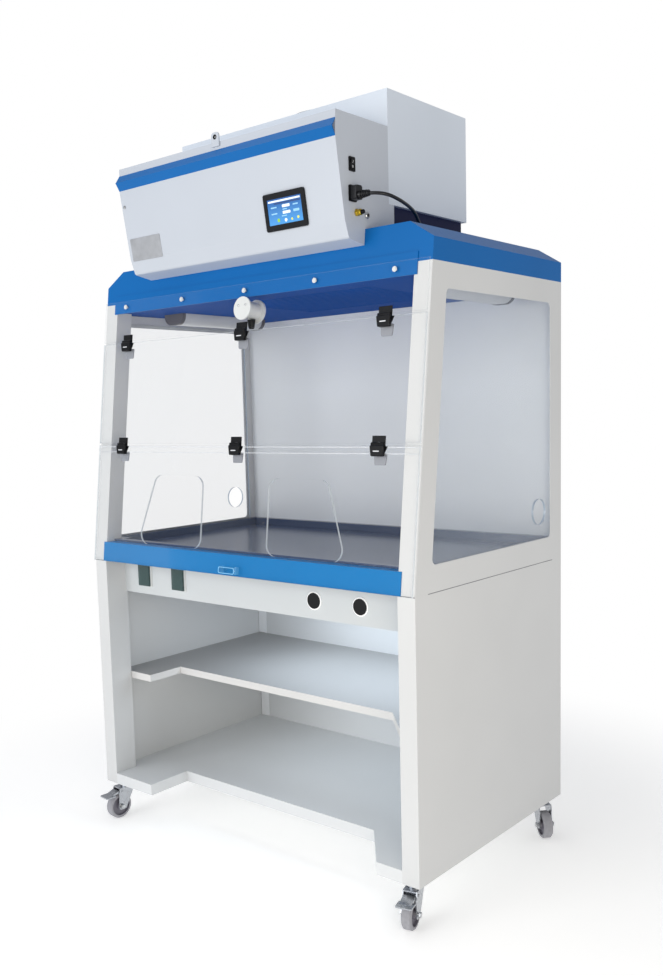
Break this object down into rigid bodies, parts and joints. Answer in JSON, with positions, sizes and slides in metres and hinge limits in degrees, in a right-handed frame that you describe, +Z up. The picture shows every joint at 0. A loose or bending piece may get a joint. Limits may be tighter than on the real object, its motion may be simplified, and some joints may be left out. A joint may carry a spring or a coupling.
{
  "type": "fume hood",
  "caption": "Ducted fume hood on a wheeled stand: clear folding sash with arm openings, side windows with cable ports, blue canopy and a roof head with blower and touch panel.",
  "frame": {"origin": "on the floor under the middle of the object's bounding box, measured without the mains lead", "axes": "+X to the right of a user who stands in front, +Y from the front to the back, +Z up"},
  "size_m": [1.0278, 0.6592, 1.738],
  "materials": {
    "white_sheet": "satin",
    "grey_sheet": "satin",
    "blue_sheet": "satin",
    "black_sheet": "satin",
    "black_top": "satin",
    "clear": "gloss",
    "frosted": "satin",
    "black_plastic": "satin",
    "smoke_cover": "gloss",
    "white_plastic": "satin",
    "zinc": "satin",
    "tyre": "satin",
    "screen": "gloss",
    "cord": "satin",
    "galvanised": "satin"
  },
  "bodies": {
    "cabinet": {"stand_side_left": "white_sheet", "stand_side_right": "white_sheet", "cabin_side_left": "white_sheet", "cabin_side_right": "white_sheet", "side_window_left": "clear", "side_window_right": "clear", "stand_back": "white_sheet", "cabin_back": "grey_sheet", "low_shelf": "white_sheet", "mid_shelf": "white_sheet", "apron": "white_sheet", "socket_frames": "black_plastic", "hole_plugs": "black_plastic", "caster_plates": "zinc", "worktop": "black_top", "sill_bar": "blue_sheet", "canopy": "blue_sheet", "ceiling": "blue_sheet", "lamp_diffusers": "frosted", "lamp_caps": "black_plastic", "top_panel": "clear", "screw_caps": "white_plastic", "probe": "white_plastic", "probe_nozzle": "black_plastic", "hinge_top_upper": "black_plastic", "cowl": "white_sheet", "trim_stripe": "blue_sheet", "lifting_lug": "zinc", "plinth": "black_sheet", "blower_box": "white_sheet", "duct_collar": "galvanised", "motor": "galvanised", "screen_bezel": "black_plastic", "screen_glass": "screen", "rocker_frame": "black_plastic", "power_inlet": "black_plastic", "lead_plug": "cord", "lead_tube": "cord", "lead_coil": "cord", "mains_plug": "cord"},
    "upper_panel": {"upper_sash": "clear", "hinge_top_lower": "black_plastic", "hinge_mid_upper": "black_plastic"},
    "lower_panel": {"lower_sash": "clear", "sash_pull": "clear", "hinge_mid_lower": "black_plastic"},
    "socket_flap_left": {"socket_cover_left": "smoke_cover"},
    "socket_flap_right": {"socket_cover_right": "smoke_cover"},
    "fork_front_left": {"caster_fork_front_left": "zinc"},
    "wheel_front_left": {"caster_wheel_front_left": "tyre"},
    "pedal_front_left": {"brake_pedal_front_left": "zinc"},
    "fork_front_right": {"caster_fork_front_right": "zinc"},
    "wheel_front_right": {"caster_wheel_front_right": "tyre"},
    "pedal_front_right": {"brake_pedal_front_right": "zinc"},
    "fork_rear_left": {"caster_fork_rear_left": "zinc"},
    "wheel_rear_left": {"caster_wheel_rear_left": "tyre"},
    "fork_rear_right": {"caster_fork_rear_right": "zinc"},
    "wheel_rear_right": {"caster_wheel_rear_right": "tyre"},
    "switch_rocker": {"rocker": "black_plastic"},
    "blower_rotor": {"rotor": "black_plastic"}
  },
  "joints": [
    {"name": "upper_panel_fold", "type": "hinge", "parent": "cabinet", "child": "upper_panel", "pos_m": [0, -0.23537, 1.24333], "axis": [-1, 0, 0], "range_deg": [0, 90]},
    {"name": "lower_panel_fold", "type": "hinge", "parent": "upper_panel", "child": "lower_panel", "pos_m": [0, -0.26604, 0.98733], "axis": [-1, 0, 0], "range_deg": [0, 110]},
    {"name": "socket_flap_left_lift", "type": "hinge", "parent": "cabinet", "child": "socket_flap_left", "pos_m": [-0.374, -0.23729, 0.6805], "axis": [-1, 0, 0], "range_deg": [0, 95]},
    {"name": "socket_flap_right_lift", "type": "hinge", "parent": "cabinet", "child": "socket_flap_right", "pos_m": [-0.247, -0.23729, 0.6805], "axis": [-1, 0, 0], "range_deg": [0, 95]},
    {"name": "front_left_swivel", "type": "hinge", "parent": "cabinet", "child": "fork_front_left", "pos_m": [-0.464, -0.25439, 0.08], "axis": [0, 0, 1], "continuous": true},
    {"name": "front_left_roll", "type": "hinge", "parent": "fork_front_left", "child": "wheel_front_left", "pos_m": [-0.46644, -0.28228, 0.0325], "axis": [-0.9962, 0.0872, 0], "continuous": true},
    {"name": "front_left_brake", "type": "hinge", "parent": "fork_front_left", "child": "pedal_front_left", "pos_m": [-0.46618, -0.27929, 0.0725], "axis": [0.9962, -0.0872, 0], "range_deg": [0, 8]},
    {"name": "front_right_swivel", "type": "hinge", "parent": "cabinet", "child": "fork_front_right", "pos_m": [0.464, -0.25439, 0.08], "axis": [0, 0, 1], "continuous": true},
    {"name": "front_right_roll", "type": "hinge", "parent": "fork_front_right", "child": "wheel_front_right", "pos_m": [0.47134, -0.28141, 0.0325], "axis": [-0.965, -0.2622, 0], "continuous": true},
    {"name": "front_right_brake", "type": "hinge", "parent": "fork_front_right", "child": "pedal_front_right", "pos_m": [0.47056, -0.27852, 0.0725], "axis": [0.965, 0.2622, 0], "range_deg": [0, 8]},
    {"name": "rear_left_swivel", "type": "hinge", "parent": "cabinet", "child": "fork_rear_left", "pos_m": [-0.464, 0.29361, 0.08], "axis": [0, 0, 1], "continuous": true},
    {"name": "rear_left_roll", "type": "hinge", "parent": "fork_rear_left", "child": "wheel_rear_left", "pos_m": [-0.48461, 0.27466, 0.0325], "axis": [-0.6769, 0.7361, 0], "continuous": true},
    {"name": "rear_right_swivel", "type": "hinge", "parent": "cabinet", "child": "fork_rear_right", "pos_m": [0.464, 0.29361, 0.08], "axis": [0, 0, 1], "continuous": true},
    {"name": "rear_right_roll", "type": "hinge", "parent": "fork_rear_right", "child": "wheel_rear_right", "pos_m": [0.48461, 0.27466, 0.0325], "axis": [-0.6769, -0.7361, 0], "continuous": true},
    {"name": "switch_rocker_tip", "type": "hinge", "parent": "cabinet", "child": "switch_rocker", "pos_m": [0.331, -0.24339, 1.543], "axis": [0, -1, 0], "range_deg": [0, 12]},
    {"name": "rotor_spin", "type": "hinge", "parent": "cabinet", "child": "blower_rotor", "pos_m": [0.06, 0.03461, 1.687], "axis": [0, 0, 1], "continuous": true}
  ]
}
